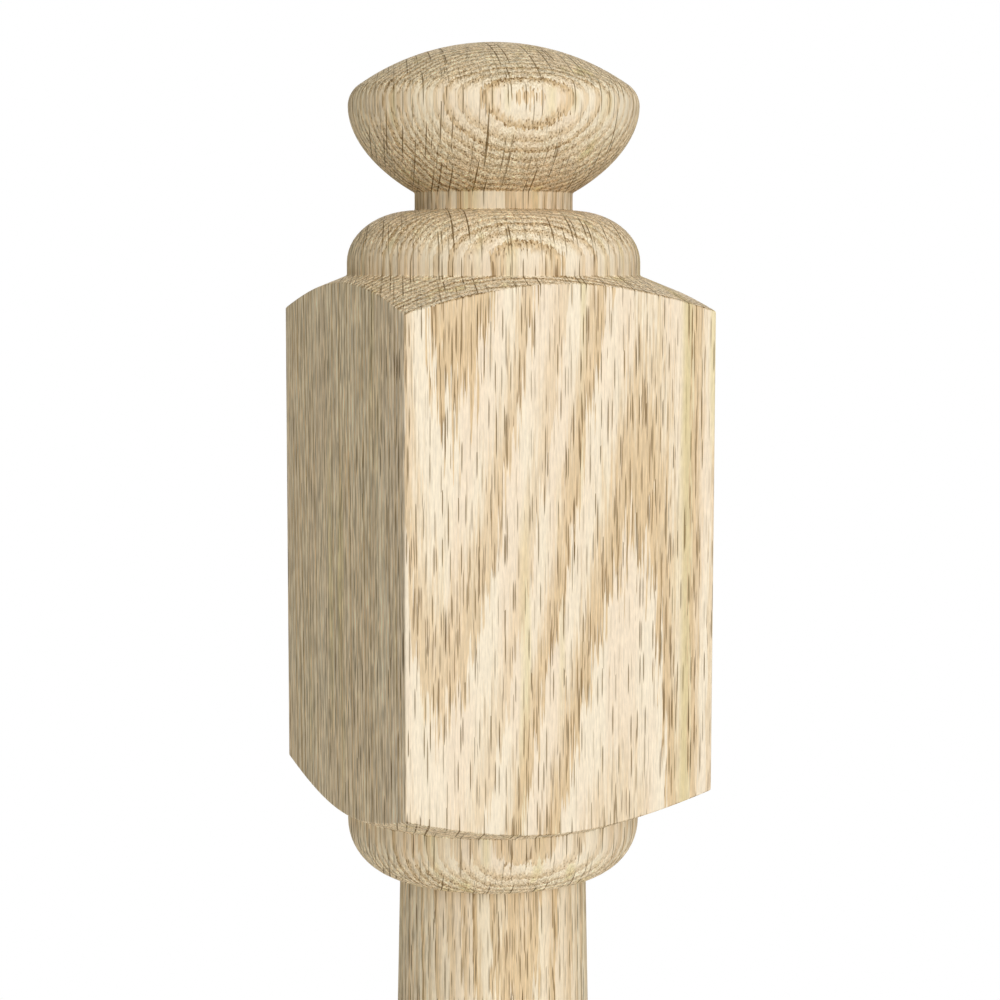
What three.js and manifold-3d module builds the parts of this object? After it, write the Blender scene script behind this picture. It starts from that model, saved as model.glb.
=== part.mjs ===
// A turned oak newel post: square base, tapered round shaft, square upper block between two half-round
// mouldings, short neck and mushroom cap, all cut from one square length of wood.
// Units are millimetres, +Z is up, and the origin is the middle of the flat underside.
import * as THREE from "three";
import { mergeVertices } from "three/addons/utils/BufferGeometryUtils.js";
import Module from "manifold-3d";

// The blank, and the length of each square stretch along a corner
const blankWidth = 76.2;
const baseSquareHeight = 300;
const upperSquareHeight = 110;

// The turned shoulder that ends a square stretch: a shallow cone, which leaves an arch on every face
const shoulderAngle = 22;

// The half-round mouldings: an upright lip at the shoulder, then a quarter round in to the shaft or neck.
// Each inset is how far the moulding's edge stays inside the blank's flat face.
const lipHeight = 3;
const baseRoundHeight = 12.5;
const baseRoundInset = 3.5;
const lowerRoundHeight = 12.5;
const lowerRoundInset = 3.5;
const upperRoundHeight = 12;
const upperRoundInset = 3.9;

// The shaft: a short collar over the base, a rounded foot, then one long taper up to the block
const collarRadius = 22.2;
const collarHeight = 3.6;
const bellyRadius = 32.5;
const bellyRise = 29;
const bellyFlareRun = 7;
const bellySideRun = 13;
const taperLength = 541.5;
const taperFootRun = 90;
const taperTopRun = 180;
const taperTopSlope = 0.021;
const shaftTopRadius = 22.2;

// The neck and the mushroom cap: a flared underside, a small rounded rim and a shallow dome
const neckRadius = 18.4;
const neckHeight = 4.1;
const capInset = 4.3;
const capUnderHeight = 19.8;
const capFlareRun = 10.3;
const capSideRun = 7.3;
const rimRadius = 5.8;
const domeRadius = 54.5;

// The angle at which the cap's underside and the shaft's foot leave the neck below them
const flareAngle = 29.4;

// How finely the turned surface is faceted
const segments = 56;
const roundSteps = 7;
const swellSteps = 7;
const rimSteps = 5;
const domeSteps = 7;

const halfWidth = blankWidth / 2;
const cornerRadius = halfWidth * Math.SQRT2;
const baseRoundRadius = halfWidth - baseRoundInset;
const lowerRoundRadius = halfWidth - lowerRoundInset;
const upperRoundRadius = halfWidth - upperRoundInset;
const capRadius = halfWidth - capInset;

// Where the outline stands clear of the blank, the blank's own flat faces and ends are left
const clearance = 5;
const clearRadius = cornerRadius + clearance;

// The outline of the turning from the underside up to the top of the cap, radius against height
const outline = [];
const outlineTo = (radius, height) => outline.push(new THREE.Vector2(radius, height));

// How far a shoulder's cone rises from the blank's corner in to a radius
function shoulderRise(radius) {
  return (cornerRadius - radius) * Math.tan(THREE.MathUtils.degToRad(shoulderAngle));
}

// An elliptical quarter round about the point (innerRadius, lipEnd), from its lip or towards it
function quarterRound(innerRadius, outerRadius, lipEnd, flatEnd, startsAtLip) {
  for (let step = 0; step <= roundSteps; step++) {
    const share = startsAtLip ? step / roundSteps : 1 - step / roundSteps;
    outlineTo(
      innerRadius + (outerRadius - innerRadius) * Math.cos((share * Math.PI) / 2),
      lipEnd + (flatEnd - lipEnd) * Math.sin((share * Math.PI) / 2),
    );
  }
}

// A curve on from the outline's last point, leaving it by one handle and arriving by another
function curveTo(leavingBy, arrivingBy, end) {
  const curve = new THREE.CubicBezierCurve(outline.at(-1), leavingBy, arrivingBy, end);
  outline.push(...curve.getPoints(swellSteps).slice(1));
}

// A swelling surface that flares out of a neck and turns upright at its widest
function swellTo(radius, height, flareRun, sideRun) {
  const flare = THREE.MathUtils.degToRad(flareAngle);
  const neck = outline.at(-1);
  curveTo(
    new THREE.Vector2(neck.x + flareRun * Math.cos(flare), neck.y + flareRun * Math.sin(flare)),
    new THREE.Vector2(radius, height - sideRun),
    new THREE.Vector2(radius, height),
  );
}

// The base square, its shoulder and the half-round moulding over it
const baseMouldingFoot = baseSquareHeight + shoulderRise(baseRoundRadius);
const baseMouldingTop = baseMouldingFoot + lipHeight + baseRoundHeight;
outlineTo(0, -clearance);
outlineTo(clearRadius, -clearance);
outlineTo(clearRadius, baseSquareHeight + shoulderRise(clearRadius));
outlineTo(baseRoundRadius, baseMouldingFoot);
quarterRound(collarRadius, baseRoundRadius, baseMouldingFoot + lipHeight, baseMouldingTop, true);

// The shaft
const bellyFoot = baseMouldingTop + collarHeight;
const bellyHeight = bellyFoot + bellyRise;
const shaftTop = bellyHeight + taperLength;
outlineTo(collarRadius, bellyFoot);
swellTo(bellyRadius, bellyHeight, bellyFlareRun, bellySideRun);
curveTo(
  new THREE.Vector2(bellyRadius, bellyHeight + taperFootRun),
  new THREE.Vector2(shaftTopRadius + taperTopRun * taperTopSlope, shaftTop - taperTopRun),
  new THREE.Vector2(shaftTopRadius, shaftTop),
);

// The half-round moulding and shoulder under the upper block
const lowerMouldingTop = shaftTop + lowerRoundHeight + lipHeight;
const upperSquareFoot = lowerMouldingTop + shoulderRise(lowerRoundRadius);
quarterRound(shaftTopRadius, lowerRoundRadius, lowerMouldingTop - lipHeight, shaftTop, false);
outlineTo(lowerRoundRadius, lowerMouldingTop);
outlineTo(clearRadius, upperSquareFoot - shoulderRise(clearRadius));

// The shoulder and half-round moulding over the upper block
const upperSquareTop = upperSquareFoot + upperSquareHeight;
const upperMouldingFoot = upperSquareTop + shoulderRise(upperRoundRadius);
const upperMouldingTop = upperMouldingFoot + lipHeight + upperRoundHeight;
outlineTo(clearRadius, upperSquareTop + shoulderRise(clearRadius));
outlineTo(upperRoundRadius, upperMouldingFoot);
quarterRound(neckRadius, upperRoundRadius, upperMouldingFoot + lipHeight, upperMouldingTop, true);

// The neck and the cap's flared underside
const capFoot = upperMouldingTop + neckHeight;
const rimHeight = capFoot + capUnderHeight;
outlineTo(neckRadius, capFoot);
swellTo(capRadius, rimHeight, capFlareRun, capSideRun);

// The cap's rim and dome, two arcs that run into each other
const rimCentre = capRadius - rimRadius;
const domeDrop = Math.sqrt((domeRadius - rimRadius) ** 2 - rimCentre ** 2);
const overallHeight = rimHeight - domeDrop + domeRadius;
const meetingAngle = Math.atan2(domeDrop, rimCentre);
for (let step = 1; step <= rimSteps; step++) {
  const angle = (meetingAngle * step) / rimSteps;
  outlineTo(rimCentre + rimRadius * Math.cos(angle), rimHeight + rimRadius * Math.sin(angle));
}
for (let step = 1; step < domeSteps; step++) {
  const angle = THREE.MathUtils.lerp(meetingAngle, Math.PI / 2, step / domeSteps);
  outlineTo(domeRadius * Math.cos(angle), rimHeight - domeDrop + domeRadius * Math.sin(angle));
}
outlineTo(0, overallHeight);

const wasm = await Module();
wasm.setup();

function solidFrom(geometry) {
  geometry.deleteAttribute("normal");
  geometry.deleteAttribute("uv");
  const merged = mergeVertices(geometry);
  return new wasm.Manifold(
    new wasm.Mesh({
      numProp: 3,
      vertProperties: merged.attributes.position.array,
      triVerts: new Uint32Array(merged.index.array),
    }),
  );
}

function geometryFrom(solid) {
  const { vertProperties, triVerts } = solid.getMesh();
  const geometry = new THREE.BufferGeometry();
  geometry.setAttribute("position", new THREE.BufferAttribute(vertProperties, 3));
  geometry.setIndex(new THREE.BufferAttribute(triVerts, 1));
  geometry.computeVertexNormals();
  return geometry;
}

// The square blank stands on the floor, and all of it that lies outside the outline is turned away
const blankHeight = overallHeight + clearance;
const blank = new THREE.BoxGeometry(blankWidth, blankWidth, blankHeight);
blank.translate(0, 0, blankHeight / 2);
const turning = new THREE.LatheGeometry(outline, segments);
turning.rotateX(Math.PI / 2);

const oak = new THREE.MeshStandardMaterial({ color: 0xe4ceaa, roughness: 0.78, metalness: 0 });
const post = new THREE.Mesh(geometryFrom(solidFrom(blank).intersect(solidFrom(turning))), oak);
post.name = "newel_post";

const newel = new THREE.Group();
newel.add(post);
export default newel;
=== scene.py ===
import math

import bpy
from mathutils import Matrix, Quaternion, Vector


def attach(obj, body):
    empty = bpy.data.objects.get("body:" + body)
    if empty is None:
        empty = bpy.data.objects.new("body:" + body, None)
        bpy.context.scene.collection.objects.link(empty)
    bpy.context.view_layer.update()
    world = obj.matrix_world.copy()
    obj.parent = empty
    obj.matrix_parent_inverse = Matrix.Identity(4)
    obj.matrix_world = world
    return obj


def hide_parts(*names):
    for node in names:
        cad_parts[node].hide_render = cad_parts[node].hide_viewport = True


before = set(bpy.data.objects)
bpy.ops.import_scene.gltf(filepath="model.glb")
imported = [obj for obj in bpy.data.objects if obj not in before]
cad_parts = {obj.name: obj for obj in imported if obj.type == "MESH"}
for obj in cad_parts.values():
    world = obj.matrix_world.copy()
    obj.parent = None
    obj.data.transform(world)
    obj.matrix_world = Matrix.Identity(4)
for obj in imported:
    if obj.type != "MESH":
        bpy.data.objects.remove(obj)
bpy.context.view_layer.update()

# The camera. It looks slightly down on the upper block from the left of its front face, close enough
# that the block's edges draw together, and the post runs out of the bottom of the picture.
MM = 0.001
photo_azimuth = math.radians(-24.425)
photo_elevation = math.radians(5.868)
photo_roll = math.radians(0.078)
photo_distance = 545.4 * MM
photo_target = Vector((0, 0, 985.9 * MM))
photo_aside = 1.58 * MM
photo_lens = 83.2
film_width = 36

camera = bpy.data.objects.new("camera", bpy.data.cameras.new("camera"))
bpy.context.scene.collection.objects.link(camera)
bpy.context.scene.camera = camera
camera.data.sensor_width = film_width
camera.data.lens = photo_lens
backwards = Vector((
    math.sin(photo_azimuth) * math.cos(photo_elevation),
    -math.cos(photo_azimuth) * math.cos(photo_elevation),
    math.sin(photo_elevation),
))
rightwards = Vector((math.cos(photo_azimuth), math.sin(photo_azimuth), 0))
camera.location = photo_target + photo_distance * backwards
looking = photo_target + photo_aside * rightwards - camera.location
camera.rotation_mode = "QUATERNION"
camera.rotation_quaternion = looking.to_track_quat("-Z", "Y") @ Quaternion((0, 0, 1), photo_roll)


# The post. One square length of oak is centred on a lathe and turned to this outline: where the outline
# stands clear of the blank its flat faces stay, and each shoulder runs out on them as an arch. The sharp
# edges are then eased by hand with sandpaper. Sizes are in millimetres.
blank_width = 76.2
arris_radius = 0.5
base_square = 300
upper_square = 110
shoulder_slope = math.tan(math.radians(22))
lip_height = 3
lower_round = 12.5
lower_round_radius = 34.6
upper_round = 12
upper_round_radius = 34.2
collar_height = 3.6
belly_radius = 32.5
belly_rise = 29
belly_flare_run = 7
belly_side_run = 13
taper_length = 541.5
taper_foot_run = 90
taper_top_run = 180
taper_top_slope = 0.021
shaft_top_radius = 22.2
neck_radius = 18.4
neck_height = 4.1
cap_radius = 33.8
cap_under_height = 19.8
cap_flare_run = 10.3
cap_side_run = 7.3
rim_radius = 5.8
dome_radius = 54.5
flare_angle = math.radians(29.4)
corner_radius = blank_width / 2 * math.sqrt(2)
clearance = 5
clear_radius = corner_radius + clearance
round_steps = 14
swell_steps = 18
turning_columns = 256

# Each point of the outline is its radius, its height and the slope on which it slides in to the blank
outline = []


def outline_to(radius, height, slide=0.0):
    outline.append((radius, height, slide))


def quarter_round(inner, outer, lip_end, flat_end, starts_at_lip):
    """An elliptical quarter round about the point (inner, lip_end), from its lip or towards it."""
    for step in range(round_steps + 1):
        share = step / round_steps if starts_at_lip else 1 - step / round_steps
        outline_to(
            inner + (outer - inner) * math.cos(share * math.pi / 2),
            lip_end + (flat_end - lip_end) * math.sin(share * math.pi / 2),
        )


def curve_to(leaving_by, arriving_by, end):
    """A smooth curve on from the outline's last point, steered by two handles."""
    start = outline[-1]
    for step in range(1, swell_steps + 1):
        gone = step / swell_steps
        left = 1 - gone
        weights = (left ** 3, 3 * gone * left ** 2, 3 * gone * gone * left, gone ** 3)
        corners = (start, leaving_by, arriving_by, end)
        radius, height = (
            sum(weight * corner[axis] for weight, corner in zip(weights, corners))
            for axis in (0, 1)
        )
        outline_to(radius, height)


def swell_to(radius, height, flare_run, side_run):
    """Flares out of the neck that the outline has reached and turns upright at its widest."""
    neck, foot = outline[-1][:2]
    curve_to(
        (neck + flare_run * math.cos(flare_angle), foot + flare_run * math.sin(flare_angle)),
        (radius, height - side_run),
        (radius, height),
    )


def shoulder_rise(radius):
    """How far a shoulder's cone rises from the blank's corner in to a radius."""
    return (corner_radius - radius) * shoulder_slope


# The base square, its shoulder and the half-round moulding over it
base_moulding_foot = base_square + shoulder_rise(lower_round_radius)
base_lip_end = base_moulding_foot + lip_height
base_moulding_top = base_lip_end + lower_round
outline_to(0, 0)
outline_to(clear_radius, 0)
outline_to(clear_radius, base_square + shoulder_rise(clear_radius), shoulder_slope)
outline_to(lower_round_radius, base_moulding_foot)
quarter_round(shaft_top_radius, lower_round_radius, base_lip_end, base_moulding_top, True)

# The shaft, from its collar and rounded foot up the long taper
belly_foot = base_moulding_top + collar_height
belly_height = belly_foot + belly_rise
shaft_top = belly_height + taper_length
outline_to(shaft_top_radius, belly_foot)
swell_to(belly_radius, belly_height, belly_flare_run, belly_side_run)
curve_to(
    (belly_radius, belly_height + taper_foot_run),
    (shaft_top_radius + taper_top_run * taper_top_slope, shaft_top - taper_top_run),
    (shaft_top_radius, shaft_top),
)

# The upper block between its two shoulders and half-round mouldings
lower_lip_end = shaft_top + lower_round
lower_moulding_top = lower_lip_end + lip_height
block_foot = lower_moulding_top + shoulder_rise(lower_round_radius)
block_top = block_foot + upper_square
upper_moulding_foot = block_top + shoulder_rise(upper_round_radius)
upper_lip_end = upper_moulding_foot + lip_height
upper_moulding_top = upper_lip_end + upper_round
quarter_round(shaft_top_radius, lower_round_radius, lower_lip_end, shaft_top, False)
outline_to(lower_round_radius, lower_moulding_top)
outline_to(clear_radius, block_foot - shoulder_rise(clear_radius), -shoulder_slope)
outline_to(clear_radius, block_top + shoulder_rise(clear_radius), shoulder_slope)
outline_to(upper_round_radius, upper_moulding_foot)
quarter_round(neck_radius, upper_round_radius, upper_lip_end, upper_moulding_top, True)

# The neck, the cap's flared underside, its rim and its dome
cap_foot = upper_moulding_top + neck_height
rim_height = cap_foot + cap_under_height
outline_to(neck_radius, cap_foot)
swell_to(cap_radius, rim_height, cap_flare_run, cap_side_run)
rim_centre = cap_radius - rim_radius
dome_drop = math.sqrt((dome_radius - rim_radius) ** 2 - rim_centre ** 2)
dome_centre = rim_height - dome_drop
meeting_angle = math.atan2(dome_drop, rim_centre)
for step in range(1, round_steps + 1):
    angle = meeting_angle * step / round_steps
    outline_to(rim_centre + rim_radius * math.cos(angle), rim_height + rim_radius * math.sin(angle))
for step in range(1, swell_steps):
    angle = meeting_angle + (math.pi / 2 - meeting_angle) * step / swell_steps
    outline_to(dome_radius * math.cos(angle), dome_centre + dome_radius * math.sin(angle))
outline_to(0, dome_centre + dome_radius)

outline_mesh = bpy.data.meshes.new("outline")
outline_mesh.from_pydata(
    [(radius * MM, 0, height * MM) for radius, height, slide in outline],
    [(row, row + 1) for row in range(len(outline) - 1)],
    [],
)
slides = outline_mesh.attributes.new("slide", "FLOAT", "POINT")
slides.data.foreach_set("value", [slide for radius, height, slide in outline])
post = bpy.data.objects.new("oak_newel_post", outline_mesh)
bpy.context.scene.collection.objects.link(post)


def add(tree, kind, inputs=(), output=0, **settings):
    """Adds a node with its settings. Inputs go by place or name, and each is a value or a link."""
    node = tree.nodes.new(kind)
    for name, value in settings.items():
        setattr(node, name, value)
    places = inputs.items() if isinstance(inputs, dict) else enumerate(inputs)
    for place, value in places:
        if isinstance(value, bpy.types.NodeSocket):
            tree.links.new(value, node.inputs[place])
        else:
            node.inputs[place].default_value = value
    return node.outputs[output]


# The lathe: the outline goes round in columns, which crowd towards the blank's four corners, and a point
# that would stand outside the blank slides in to its face
lathe = bpy.data.node_groups.new("turned from a square blank", "GeometryNodeTree")
lathe.interface.new_socket("Outline", in_out="INPUT", socket_type="NodeSocketGeometry")
lathe_sizes = {
    "Half Width": blank_width / 2 * MM,
    "Arris Radius": arris_radius * MM,
    "Columns": turning_columns,
    "Weld Distance": 0.001 * MM,
}
lathe_sockets = {
    name: lathe.interface.new_socket(
        name,
        in_out="INPUT",
        socket_type="NodeSocketInt" if isinstance(size, int) else "NodeSocketFloat",
    )
    for name, size in lathe_sizes.items()
}
finish_socket = lathe.interface.new_socket("Finish", in_out="INPUT", socket_type="NodeSocketMaterial")
lathe.interface.new_socket("Post", in_out="OUTPUT", socket_type="NodeSocketGeometry")
given = lathe.nodes.new("NodeGroupInput").outputs
position = add(lathe, "GeometryNodeInputPosition")
rows = add(lathe, "GeometryNodeAttributeDomainSize", [given["Outline"]], component="MESH")
row_gaps = add(lathe, "ShaderNodeMath", [rows, 1], operation="SUBTRACT")
tube = add(
    lathe, "GeometryNodeMeshCylinder",
    {"Vertices": given["Columns"], "Side Segments": row_gaps, "Radius": 1.0, "Depth": row_gaps},
    fill_type="NONE",
)
place = add(lathe, "ShaderNodeSeparateXYZ", [position]).node.outputs
row = add(lathe, "ShaderNodeMath", [row_gaps, 0.5, place["Z"]], operation="MULTIPLY_ADD")
row = add(lathe, "ShaderNodeMath", [row], operation="ROUND")
turn = add(lathe, "ShaderNodeMath", [place["Y"], place["X"]], operation="ARCTAN2")
quarters = add(lathe, "ShaderNodeMath", [turn, math.pi / 2], operation="DIVIDE")
face = add(lathe, "ShaderNodeMath", [quarters], operation="ROUND")
off_face = add(lathe, "ShaderNodeMath", [quarters, face], operation="SUBTRACT")
off_face = add(lathe, "ShaderNodeMath", [off_face, math.pi], operation="MULTIPLY")
off_face = add(lathe, "ShaderNodeMath", [off_face], operation="SINE")
off_face = add(lathe, "ShaderNodeMath", [off_face, math.pi / 4], operation="MULTIPLY")
angle = add(lathe, "ShaderNodeMath", [face, math.pi / 2, off_face], operation="MULTIPLY_ADD")
cosine = add(lathe, "ShaderNodeMath", [angle], operation="COSINE")
sine = add(lathe, "ShaderNodeMath", [angle], operation="SINE")
near = add(lathe, "ShaderNodeMath", [off_face], operation="COSINE")
far = add(lathe, "ShaderNodeMath", [off_face], operation="SINE")
far = add(lathe, "ShaderNodeMath", [far], operation="ABSOLUTE")

# The blank's own radius at that angle: its flat face, or the small arc of an eased arris
flat = add(lathe, "ShaderNodeMath", [given["Half Width"], near], operation="DIVIDE")
inset = add(lathe, "ShaderNodeMath", [given["Half Width"], given["Arris Radius"]], operation="SUBTRACT")
both = add(lathe, "ShaderNodeMath", [near, far], operation="ADD")
middle = add(lathe, "ShaderNodeMath", [inset, both], operation="MULTIPLY")
arc = add(lathe, "ShaderNodeMath", [middle, middle], operation="MULTIPLY")
arc = add(
    lathe, "ShaderNodeMath",
    [given["Arris Radius"], given["Arris Radius"], arc],
    operation="MULTIPLY_ADD",
)
centre = add(lathe, "ShaderNodeMath", [inset, inset], operation="MULTIPLY")
arc = add(lathe, "ShaderNodeMath", [centre, -2.0, arc], operation="MULTIPLY_ADD")
arc = add(lathe, "ShaderNodeMath", [arc], operation="SQRT")
arc = add(lathe, "ShaderNodeMath", [middle, arc], operation="ADD")
across = add(lathe, "ShaderNodeMath", [flat, far], operation="MULTIPLY")
on_arris = add(lathe, "FunctionNodeCompare", [across, inset], data_type="FLOAT", operation="GREATER_THAN")
blank_radius = add(
    lathe, "GeometryNodeSwitch",
    {"Switch": on_arris, "False": flat, "True": arc},
    input_type="FLOAT",
)

# Each point's radius, height and slide from the outline, then its place
point = add(
    lathe, "GeometryNodeSampleIndex",
    {"Geometry": given["Outline"], "Value": position, "Index": row},
    data_type="FLOAT_VECTOR", domain="POINT",
)
point = add(lathe, "ShaderNodeSeparateXYZ", [point]).node.outputs
slide = add(lathe, "GeometryNodeInputNamedAttribute", ["slide"], data_type="FLOAT")
slide = add(
    lathe, "GeometryNodeSampleIndex",
    {"Geometry": given["Outline"], "Value": slide, "Index": row},
    data_type="FLOAT", domain="POINT",
)
turned = add(lathe, "ShaderNodeMath", [point["X"], blank_radius], operation="MINIMUM")
slid = add(lathe, "ShaderNodeMath", [point["X"], turned], operation="SUBTRACT")
level = add(lathe, "ShaderNodeMath", [slid, slide, point["Z"]], operation="MULTIPLY_ADD")
turned_x = add(lathe, "ShaderNodeMath", [turned, cosine], operation="MULTIPLY")
turned_y = add(lathe, "ShaderNodeMath", [turned, sine], operation="MULTIPLY")
turned_place = add(lathe, "ShaderNodeCombineXYZ", [turned_x, turned_y, level])
shape = add(lathe, "GeometryNodeSetPosition", {"Geometry": tube, "Position": turned_place})
shape = add(lathe, "GeometryNodeMergeByDistance", {"Geometry": shape, "Distance": given["Weld Distance"]})
shape = add(lathe, "GeometryNodeSetShadeSmooth", {"Geometry": shape, "Shade Smooth": True})
shape = add(lathe, "GeometryNodeRealizeInstances", [shape])
shape = add(lathe, "GeometryNodeSetMaterial", {"Geometry": shape, "Material": given["Finish"]})
lathe.links.new(shape, lathe.nodes.new("NodeGroupOutput").inputs["Post"])


def colour(code):
    """The linear red, green, blue and alpha of an sRGB hex value."""
    parts = [int(code[start:start + 2], 16) / 255 for start in (1, 3, 5)]
    return [part / 12.92 if part <= 0.04045 else ((part + 0.055) / 1.055) ** 2.4 for part in parts] + [1]


# Unfinished red oak, turned and sanded. It is pale cream, with tan bands where a growth ring begins and
# its open pores crowd, and thin dark rays. Every surface cuts through one solid block of rings, pores
# and rays, so long faces show streaks and the turned ends show rows of dots.
oak = bpy.data.materials.new("unfinished_turned_red_oak")
oak.use_nodes = True
wood = oak.node_tree
wood.nodes.clear()
late_wood = colour("#F8EBD6")
blush_wood = colour("#F6E5CF")
green_wood = colour("#EDDFB8")
mineral_wood = colour("#DDCB9A")
early_wood = colour("#E3C79F")
pore_shade = colour("#95703F")
ray_shade = colour("#806538")
# The dark crumb tone is partly the wood's own and partly painted shade in the hollows between raised crumbs
crumb_tone_and_painted_shade = colour("#E4DAC6")

# These two are gains in red, green and blue. Wood deep in the blank is a little yellower, and a pale crumb
# of end grain is up to a quarter brighter than the wood round it: partly its own paler tone, partly a
# painted glint on the raised crumbs.
deep_gain = (1, 0.985, 0.94, 1)
crumb_tone_and_glint_gain = (1.23, 1.25, 1.24, 1)

# Every pattern is measured in millimetres, with the block's upper corners at height zero
measured = add(
    wood, "ShaderNodeMapping",
    {
        "Vector": add(wood, "ShaderNodeTexCoord", output="Object"),
        "Location": (0, 0, -block_top),
        "Scale": (1 / MM, 1 / MM, 1 / MM),
    },
)
along = add(wood, "ShaderNodeSeparateXYZ", [measured]).node.outputs
across_front = along["X"]
upward = along["Z"]
depth = add(wood, "ShaderNodeMath", [along["Y"], blank_width / 2], operation="ADD")

# Noises drawn out along the grain. Each is given by its width and length in millimetres and its detail.
# Oak fibres are some 0.02 mm wide, so the finest noises are drawn coarser, as bundles that show.
noises = {}
for name, width, length, detail in (
    ("wander", 9, 150, 1),
    ("fray", 0.5, 15, 2),
    ("weave", 3, 15, 1),
    ("blush", 7, 60, 2),
    ("green", 5, 90, 1),
    ("streak", 0.28, 8, 2),
    ("speckle", 0.4, 2.2, 2),
    ("grit", 0.42, 0.8, 1),
    ("shred", 1.1, 6, 3),
):
    stretched = add(
        wood, "ShaderNodeVectorMath",
        [measured, (1 / width, 1 / width, 1 / length)],
        operation="MULTIPLY",
    )
    noises[name] = add(wood, "ShaderNodeTexNoise", {"Vector": stretched, "Scale": 1.0, "Detail": detail})

# Nearly every value of a noise lies between these two
noise_low = 0.3
noise_high = 0.7

# Growth rings: curved sheets that bulge towards the front. They stand furthest forward along a crest that
# sways from side to side up the post, they tilt and twist a little, and they bow over its length.
ring_width = 1.9
crest_middle = 20.6
crest_sway = 14.7
crest_start = 17.0
crest_run = 250.0
sheet_radius = 56
sheet_skew = 1.01e-4
sheet_flattening = -4.0e-7
sheet_tilt = 0.0226
sheet_twist = -1.8e-4
sheet_offset = 0.495
bow_rise = 0.747
bow_start = 74.0
bow_run = 500
crest = add(wood, "ShaderNodeMath", [upward, crest_start], operation="ADD")
crest = add(wood, "ShaderNodeMath", [crest, crest_run], operation="DIVIDE")
crest = add(wood, "ShaderNodeMath", [crest], operation="SINE")
crest = add(wood, "ShaderNodeMath", [crest, crest_sway, crest_middle], operation="MULTIPLY_ADD")
aside = add(wood, "ShaderNodeMath", [across_front, crest], operation="SUBTRACT")
bend = add(wood, "ShaderNodeMath", [aside, sheet_flattening, sheet_skew], operation="MULTIPLY_ADD")
bend = add(wood, "ShaderNodeMath", [bend, aside, 1 / (2 * sheet_radius)], operation="MULTIPLY_ADD")
square = add(wood, "ShaderNodeMath", [aside, aside], operation="MULTIPLY")
tilt = add(wood, "ShaderNodeMath", [aside, sheet_twist, sheet_tilt], operation="MULTIPLY_ADD")
rings = add(wood, "ShaderNodeMath", [upward, tilt, sheet_offset], operation="MULTIPLY_ADD")
rings = add(wood, "ShaderNodeMath", [square, bend, rings], operation="MULTIPLY_ADD")
bow = add(wood, "ShaderNodeMath", [upward, bow_start], operation="ADD")
bow = add(wood, "ShaderNodeMath", [bow, 2 * math.pi / bow_run], operation="MULTIPLY")
bow = add(wood, "ShaderNodeMath", [bow], operation="COSINE")
rings = add(wood, "ShaderNodeMath", [bow, bow_rise, rings], operation="MULTIPLY_ADD")
rings = add(wood, "ShaderNodeMath", [rings, depth], operation="SUBTRACT")

# The rings grow uneven further in, and single fibres fray their edges
uneven_depth = 25.0
uneven_most = 5.0
fray_most = 1.8
unevenness = add(
    wood, "ShaderNodeMapRange",
    {"Value": depth, "From Max": uneven_depth, "To Max": uneven_most},
)
for name, amount in (("wander", unevenness), ("fray", fray_most)):
    swing = add(wood, "ShaderNodeMath", [noises[name], 0.5], operation="SUBTRACT")
    rings = add(wood, "ShaderNodeMath", [swing, amount, rings], operation="MULTIPLY_ADD")
rings = add(wood, "ShaderNodeMath", [rings, ring_width], operation="DIVIDE")

# Each year's early wood comes quickly and fades, and some years show it more strongly than others. The
# ramp gives its amount at shares of a year, and the first year picks the run of chances for the years.
first_year = 2.0
weakest_year = 0.55
year_spread = 0.5
year = add(wood, "ShaderNodeMath", [rings], operation="FLOOR")
year = add(wood, "ShaderNodeMath", [year, first_year], operation="ADD")
luck = add(wood, "ShaderNodeTexWhiteNoise", {"W": year}, noise_dimensions="1D")
strength = add(wood, "ShaderNodeMath", [luck, year_spread, weakest_year], operation="MULTIPLY_ADD")
season = add(wood, "ShaderNodeMath", [rings], operation="FRACT")
early = add(wood, "ShaderNodeValToRGB", [season])
early_stops = early.node.color_ramp.elements
early_stops[0].color = (0, 0, 0, 1)
early_stops[1].color = (0, 0, 0, 1)
for share, amount in ((0.05, 1.0), (0.32, 0.85), (0.62, 0.1)):
    early_stops.new(share).color = (amount, amount, amount, 1)
early = add(wood, "ShaderNodeMath", [early, strength], operation="MULTIPLY")

# End grain: where the surface cuts across the fibres, told by how far it faces up or down
end_grain_from = 0.12
end_grain_full = 0.75
normal = add(wood, "ShaderNodeNewGeometry", output="Normal")
end_grain = add(wood, "ShaderNodeSeparateXYZ", [normal], output="Z")
end_grain = add(wood, "ShaderNodeMath", [end_grain], operation="ABSOLUTE")
end_grain = add(
    wood, "ShaderNodeMapRange",
    {"Value": end_grain, "From Min": end_grain_from, "From Max": end_grain_full},
    interpolation_type="SMOOTHSTEP",
)

# Pores: long vessels that weave in and out of a cut face, crowded where a ring begins. Real ones are
# 0.3 mm wide and nearly touch, and these are drawn further apart, so that they show.
pore_spacing = 0.44
pore_length = 18.0
pore_weave = 0.8
late_bore = 0.06
early_widening = 0.33
end_widening = 0.12
pore_softness = 0.12
weave = noises["weave"].node.outputs["Color"]
weave = add(wood, "ShaderNodeVectorMath", [weave, (0.5, 0.5, 0.5)], operation="SUBTRACT")
vessels = add(
    wood, "ShaderNodeVectorMath",
    [weave, (pore_weave, pore_weave, 0), measured],
    operation="MULTIPLY_ADD",
)
vessels = add(
    wood, "ShaderNodeVectorMath",
    [vessels, (1 / pore_spacing, 1 / pore_spacing, 1 / pore_length)],
    operation="MULTIPLY",
)
vessels = add(wood, "ShaderNodeTexVoronoi", {"Vector": vessels, "Scale": 1.0})
bore = add(wood, "ShaderNodeMath", [early, early_widening, late_bore], operation="MULTIPLY_ADD")
bore = add(wood, "ShaderNodeMath", [end_grain, end_widening, bore], operation="MULTIPLY_ADD")
core = add(wood, "ShaderNodeMath", [bore, pore_softness], operation="SUBTRACT")
pores = add(
    wood, "ShaderNodeMapRange",
    {"Value": vessels, "From Min": bore, "From Max": core},
    interpolation_type="SMOOTHSTEP",
)

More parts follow.
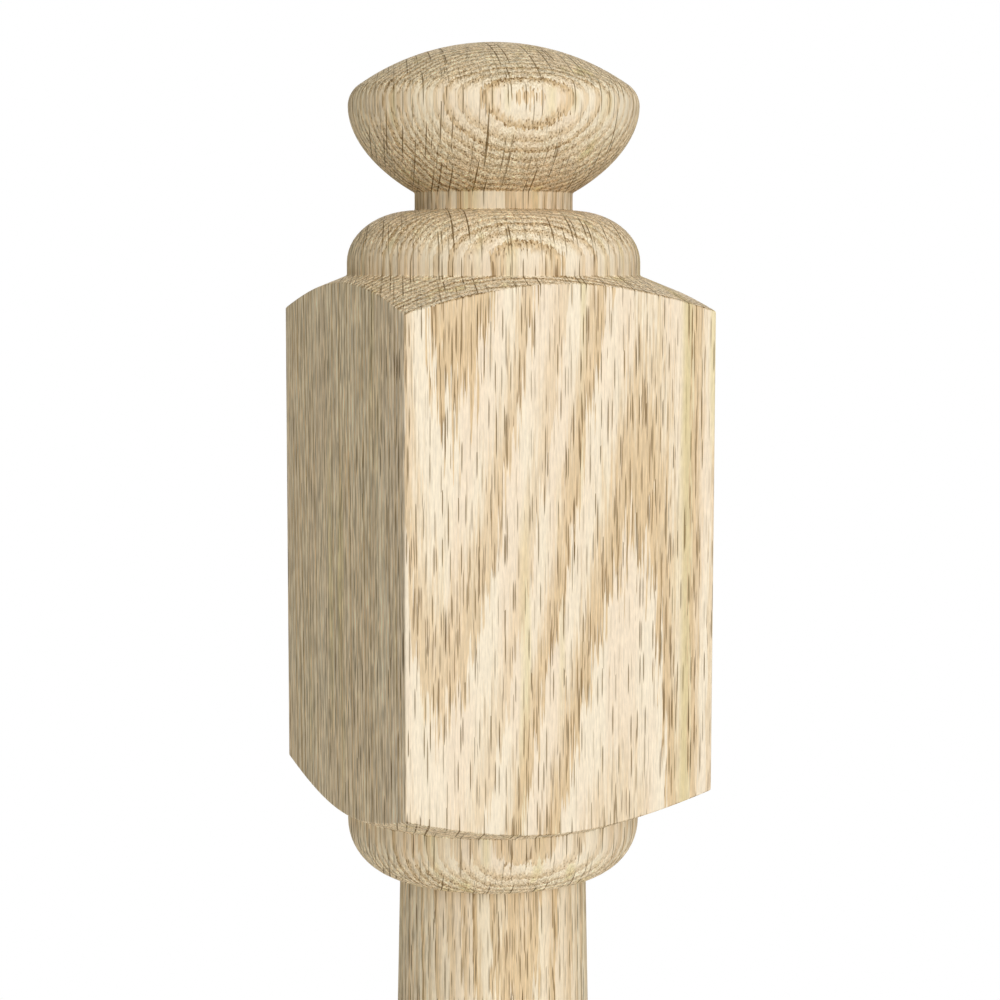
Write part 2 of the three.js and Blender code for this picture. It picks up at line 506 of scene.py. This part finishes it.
# Rays: upright ribbons that fan out from the tree's heart, behind the post. They show on the front face as
# short dashes, and chance makes some faint and some dark. Each row below is their spacing across and along
# the grain, then their width and length.
heart_depth = 150.0
heart_aside = 21.4
ray_outline = 1.05
ray_end_widening = 0.2
ray_softness = 0.4
faintest_ray = 0.3
faintest_below = 0.3
darkest_above = 0.7
from_heart = add(wood, "ShaderNodeMath", [heart_depth, depth], operation="SUBTRACT")
beside_heart = add(wood, "ShaderNodeMath", [across_front, heart_aside], operation="SUBTRACT")
fan = add(wood, "ShaderNodeMath", [heart_depth, from_heart], operation="DIVIDE")
fan = add(wood, "ShaderNodeMath", [beside_heart, fan], operation="MULTIPLY")
ray_edge = add(wood, "ShaderNodeMath", [end_grain, ray_end_widening, ray_outline], operation="MULTIPLY_ADD")
ray_core = add(wood, "ShaderNodeMath", [ray_edge, ray_softness], operation="SUBTRACT")
ray_marks = []
for ray_gap, ray_reach, ray_width, ray_length in ((2.1, 10, 0.32, 8), (6, 22, 0.38, 12)):
    spread = add(wood, "ShaderNodeCombineXYZ", [fan, upward])
    spread = add(
        wood, "ShaderNodeVectorMath",
        [spread, (1 / ray_gap, 1 / ray_reach, 1)],
        operation="MULTIPLY",
    )
    cell = add(
        wood, "ShaderNodeTexVoronoi",
        {"Vector": spread, "Scale": 1.0},
        output="Position", voronoi_dimensions="2D",
    )
    chance = cell.node.outputs["Color"]
    darkness = add(
        wood, "ShaderNodeMapRange",
        {"Value": chance, "From Min": faintest_below, "From Max": darkest_above, "To Min": faintest_ray},
    )
    offset = add(wood, "ShaderNodeVectorMath", [spread, cell], operation="SUBTRACT")
    offset = add(
        wood, "ShaderNodeVectorMath",
        [offset, (2 * ray_gap / ray_width, 2 * ray_reach / ray_length, 0)],
        operation="MULTIPLY",
    )
    offset = add(wood, "ShaderNodeVectorMath", [offset], output="Value", operation="LENGTH")
    ray_marks.append(add(
        wood, "ShaderNodeMapRange",
        {"Value": offset, "From Min": ray_edge, "From Max": ray_core, "To Max": darkness},
        interpolation_type="SMOOTHSTEP",
    ))
rays = add(wood, "ShaderNodeMath", ray_marks, operation="MAXIMUM")

# How squarely the surface crosses the rays. A ray fades where the surface lies along it, and on the ends
# it comes and goes. Edge on is where the surface cuts the rings edge on, as on the sides of the post.
edge_on_from = 0.9
edge_on_full = 0.5
crossing_from = 0.1
crossing_full = 0.35
gone_below = 0.36
whole_above = 0.44
outward = add(wood, "ShaderNodeMath", [from_heart, -1.0], operation="MULTIPLY")
outward = add(wood, "ShaderNodeCombineXYZ", [beside_heart, outward])
outward = add(wood, "ShaderNodeVectorMath", [outward], operation="NORMALIZE")
squarely = add(wood, "ShaderNodeVectorMath", [outward, normal], output="Value", operation="DOT_PRODUCT")
squarely = add(wood, "ShaderNodeMath", [squarely], operation="ABSOLUTE")
edge_on = add(
    wood, "ShaderNodeMapRange",
    {"Value": squarely, "From Min": edge_on_from, "From Max": edge_on_full},
)
crossing = add(
    wood, "ShaderNodeMapRange",
    {"Value": squarely, "From Min": crossing_from, "From Max": crossing_full},
)
crossing = add(wood, "ShaderNodeMath", [crossing, end_grain], operation="MAXIMUM")
long_face = add(wood, "ShaderNodeMath", [1.0, end_grain], operation="SUBTRACT")
whole = add(
    wood, "ShaderNodeMapRange",
    {"Value": noises["weave"], "From Min": gone_below, "From Max": whole_above},
)
whole = add(wood, "ShaderNodeMath", [whole, long_face], operation="MAXIMUM")
rays = add(wood, "ShaderNodeMath", [rays, crossing], operation="MULTIPLY")
rays = add(wood, "ShaderNodeMath", [rays, whole], operation="MULTIPLY")

# Colour: cream late wood with blush and greenish patches and one yellow mineral streak up the front's
# right side, then tan early wood, and all of it yellower deep in the blank
streak_aside = 31.0
streak_reach = 2.6
streak_core = 0.4
streak_strength = 0.8
deep_from = 1.0
deep_full = 16.0
shade = late_wood
for name, lowest, highest, tone in (("blush", 0.4, 0.62, blush_wood), ("green", 0.58, 0.76, green_wood)):
    patch = add(
        wood, "ShaderNodeMapRange",
        {"Value": noises[name], "From Min": lowest, "From Max": highest},
        interpolation_type="SMOOTHSTEP",
    )
    shade = add(wood, "ShaderNodeMix", {0: patch, 6: shade, 7: tone}, output=2, data_type="RGBA")
mineral = add(wood, "ShaderNodeMath", [across_front, streak_aside], operation="SUBTRACT")
mineral = add(wood, "ShaderNodeMath", [mineral], operation="ABSOLUTE")
mineral = add(
    wood, "ShaderNodeMapRange",
    {"Value": mineral, "From Min": streak_reach, "From Max": streak_core, "To Max": streak_strength},
    interpolation_type="SMOOTHSTEP",
)
shade = add(wood, "ShaderNodeMix", {0: mineral, 6: shade, 7: mineral_wood}, output=2, data_type="RGBA")
shade = add(wood, "ShaderNodeMix", {0: early, 6: shade, 7: early_wood}, output=2, data_type="RGBA")
deeper = add(wood, "ShaderNodeMapRange", {"Value": depth, "From Min": deep_from, "From Max": deep_full})
shade = add(
    wood, "ShaderNodeMix",
    {0: deeper, 6: shade, 7: deep_gain},
    output=2, data_type="RGBA", blend_type="MULTIPLY",
)

# The marks over that colour: rings on the ends alone, pores and rays. Each has its strength on the long
# faces, what the ends add to it, and its tone.
for marks, on_long_faces, ends_add, tone in (
    (early, 0, 0.24, pore_shade),
    (pores, 0.66, 0.2, pore_shade),
    (rays, 0.8, 0.15, ray_shade),
):
    amount = add(wood, "ShaderNodeMath", [end_grain, ends_add, on_long_faces], operation="MULTIPLY_ADD")
    amount = add(wood, "ShaderNodeMath", [marks, amount], operation="MULTIPLY")
    shade = add(wood, "ShaderNodeMix", {0: amount, 6: shade, 7: tone}, output=2, data_type="RGBA")

# Ripples of lighter and darker fibres: streaks, strongest in the early wood, fine speckle everywhere, and
# ragged shreds where the rings are cut edge on
streaks_in_late_wood = 0.4
streaks_early_adds = 0.6
streaked = add(
    wood, "ShaderNodeMath",
    [early, streaks_early_adds, streaks_in_late_wood],
    operation="MULTIPLY_ADD",
)
for name, amount, darkest, palest in (
    ("streak", streaked, 0.78, 1.12),
    ("speckle", 1.0, 0.92, 1.06),
    ("shred", edge_on, 0.7, 1.3),
):
    ripple = add(
        wood, "ShaderNodeMapRange",
        {
            "Value": noises[name],
            "From Min": noise_low,
            "From Max": noise_high,
            "To Min": darkest,
            "To Max": palest,
        },
    )
    shade = add(
        wood, "ShaderNodeMix",
        {0: amount, 6: shade, 7: ripple},
        output=2, data_type="RGBA", blend_type="MULTIPLY",
    )

# Crumbs: the torn ends of fibres on the end grain, each a paler or darker grain of wood. The colour follows
# the crumbs' relief below, so it is partly painted light: a painted glint on the raised crumbs and painted
# shade in the hollows between them.
dark_crumb_and_shade = 0.35
pale_crumb_and_glint = 0.62
crumb_tone_and_painted_light = add(
    wood, "ShaderNodeMapRange",
    {"Value": noises["grit"], "From Min": dark_crumb_and_shade, "From Max": pale_crumb_and_glint},
)
crumb_tone_and_painted_light = add(wood, "ShaderNodeMix", {0: crumb_tone_and_painted_light, 6: crumb_tone_and_painted_shade, 7: crumb_tone_and_glint_gain}, output=2, data_type="RGBA")
shade = add(
    wood, "ShaderNodeMix",
    {0: end_grain, 6: shade, 7: crumb_tone_and_painted_light},
    output=2, data_type="RGBA", blend_type="MULTIPLY",
)

# Relief in millimetres: rays and pores are faint grooves, and the crumbs stand up
ray_relief = -0.08
pore_relief = -0.16
crumb_relief = 0.6
grit = add(wood, "ShaderNodeMath", [noises["grit"], end_grain], operation="MULTIPLY")
relief = add(wood, "ShaderNodeMath", [rays, ray_relief], operation="MULTIPLY")
relief = add(wood, "ShaderNodeMath", [pores, pore_relief, relief], operation="MULTIPLY_ADD")
relief = add(wood, "ShaderNodeMath", [grit, crumb_relief, relief], operation="MULTIPLY_ADD")
bump = add(wood, "ShaderNodeBump", {"Height": relief, "Distance": MM, "Strength": 1.0})
surface = add(
    wood, "ShaderNodeBsdfPrincipled",
    {"Base Color": shade, "Roughness": 0.75, "IOR": 1.45, "Normal": bump},
)
wood.links.new(surface, wood.nodes.new("ShaderNodeOutputMaterial").inputs["Surface"])

# The turned mesh, with every turned corner slightly rounded
easing_width = 0.35
easing_steps = 3
easing_angle = math.radians(28)
turning = post.modifiers.new("turning", "NODES")
turning.node_group = lathe
for name, size in lathe_sizes.items():
    turning[lathe_sockets[name].identifier] = size
turning[finish_socket.identifier] = oak
turned_mesh = bpy.data.meshes.new_from_object(
    post.evaluated_get(bpy.context.evaluated_depsgraph_get())
)
post.modifiers.clear()
post.data = turned_mesh
eased = post.modifiers.new("eased edges", "BEVEL")
eased.width = easing_width * MM
eased.segments = easing_steps
eased.limit_method = "ANGLE"
eased.angle_limit = easing_angle
eased.harden_normals = True
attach(post, "root")
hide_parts("newel_post")


# The studio floor. It is a round board in matt white paint, which glows faintly so that it is nearly as
# pale as the surroundings. It lies below the photo's view, and its edge shows from other sides.
floor_radius = 2.3
floor_sides = 96
floor_mesh = bpy.data.meshes.new("floor")
floor_mesh.from_pydata(
    [
        (
            floor_radius * math.cos(side * math.tau / floor_sides),
            floor_radius * math.sin(side * math.tau / floor_sides),
            0,
        )
        for side in range(floor_sides)
    ],
    [],
    [range(floor_sides)],
)
floor = bpy.data.objects.new("floor", floor_mesh)
bpy.context.scene.collection.objects.link(floor)
paint = bpy.data.materials.new("matt_white_paint")
paint.use_nodes = True
paint.node_tree.nodes.clear()
painted = add(
    paint.node_tree, "ShaderNodeBsdfPrincipled",
    {
        "Base Color": colour("#F4F4F2"),
        "Roughness": 0.9,
        "Emission Color": colour("#FFFFFF"),
        "Emission Strength": 0.32,
    },
)
paint_output = paint.node_tree.nodes.new("ShaderNodeOutputMaterial")
paint.node_tree.links.new(painted, paint_output.inputs["Surface"])
floor_mesh.materials.append(paint)


# The light. Three wide soft lamps stand before the front face, above it and behind the post. Each is
# given by its azimuth, elevation, distance and width in metres, and power in watts.
for name, azimuth, elevation, distance, width, power in (
    ("front_lamp", -2, 14, 1.8, 1.3, 17.8),
    ("top_lamp", -14, 54, 1.6, 1.0, 6.5),
    ("back_lamp", 155, 18, 2.2, 1.3, 18),
):
    lamp = bpy.data.objects.new(name, bpy.data.lights.new(name, "AREA"))
    bpy.context.scene.collection.objects.link(lamp)
    lamp.data.shape = "DISK"
    lamp.data.size = width
    lamp.data.energy = power
    turned_by = math.radians(azimuth)
    raised_by = math.radians(elevation)
    towards_lamp = Vector((
        math.sin(turned_by) * math.cos(raised_by),
        -math.cos(turned_by) * math.cos(raised_by),
        math.sin(raised_by),
    ))
    lamp.location = photo_target + towards_lamp * distance
    lamp.rotation_mode = "QUATERNION"
    lamp.rotation_quaternion = (-towards_lamp).to_track_quat("-Z", "Y")

# The surroundings look plain white and cast an even, slightly warm light
world = bpy.data.worlds.new("white surroundings")
bpy.context.scene.world = world
world.use_nodes = True
sky = world.node_tree
sky.nodes.clear()
seen = add(sky, "ShaderNodeBackground", {"Color": colour("#FFFFFF"), "Strength": 1.0})
cast = add(sky, "ShaderNodeBackground", {"Color": colour("#FFFAE1"), "Strength": 0.25})
on_camera = add(sky, "ShaderNodeLightPath", output="Is Camera Ray")
backdrop = add(sky, "ShaderNodeMixShader", [on_camera, cast, seen])
sky.links.new(backdrop, sky.nodes.new("ShaderNodeOutputWorld").inputs["Surface"])
bpy.context.scene.view_settings.view_transform = "Standard"
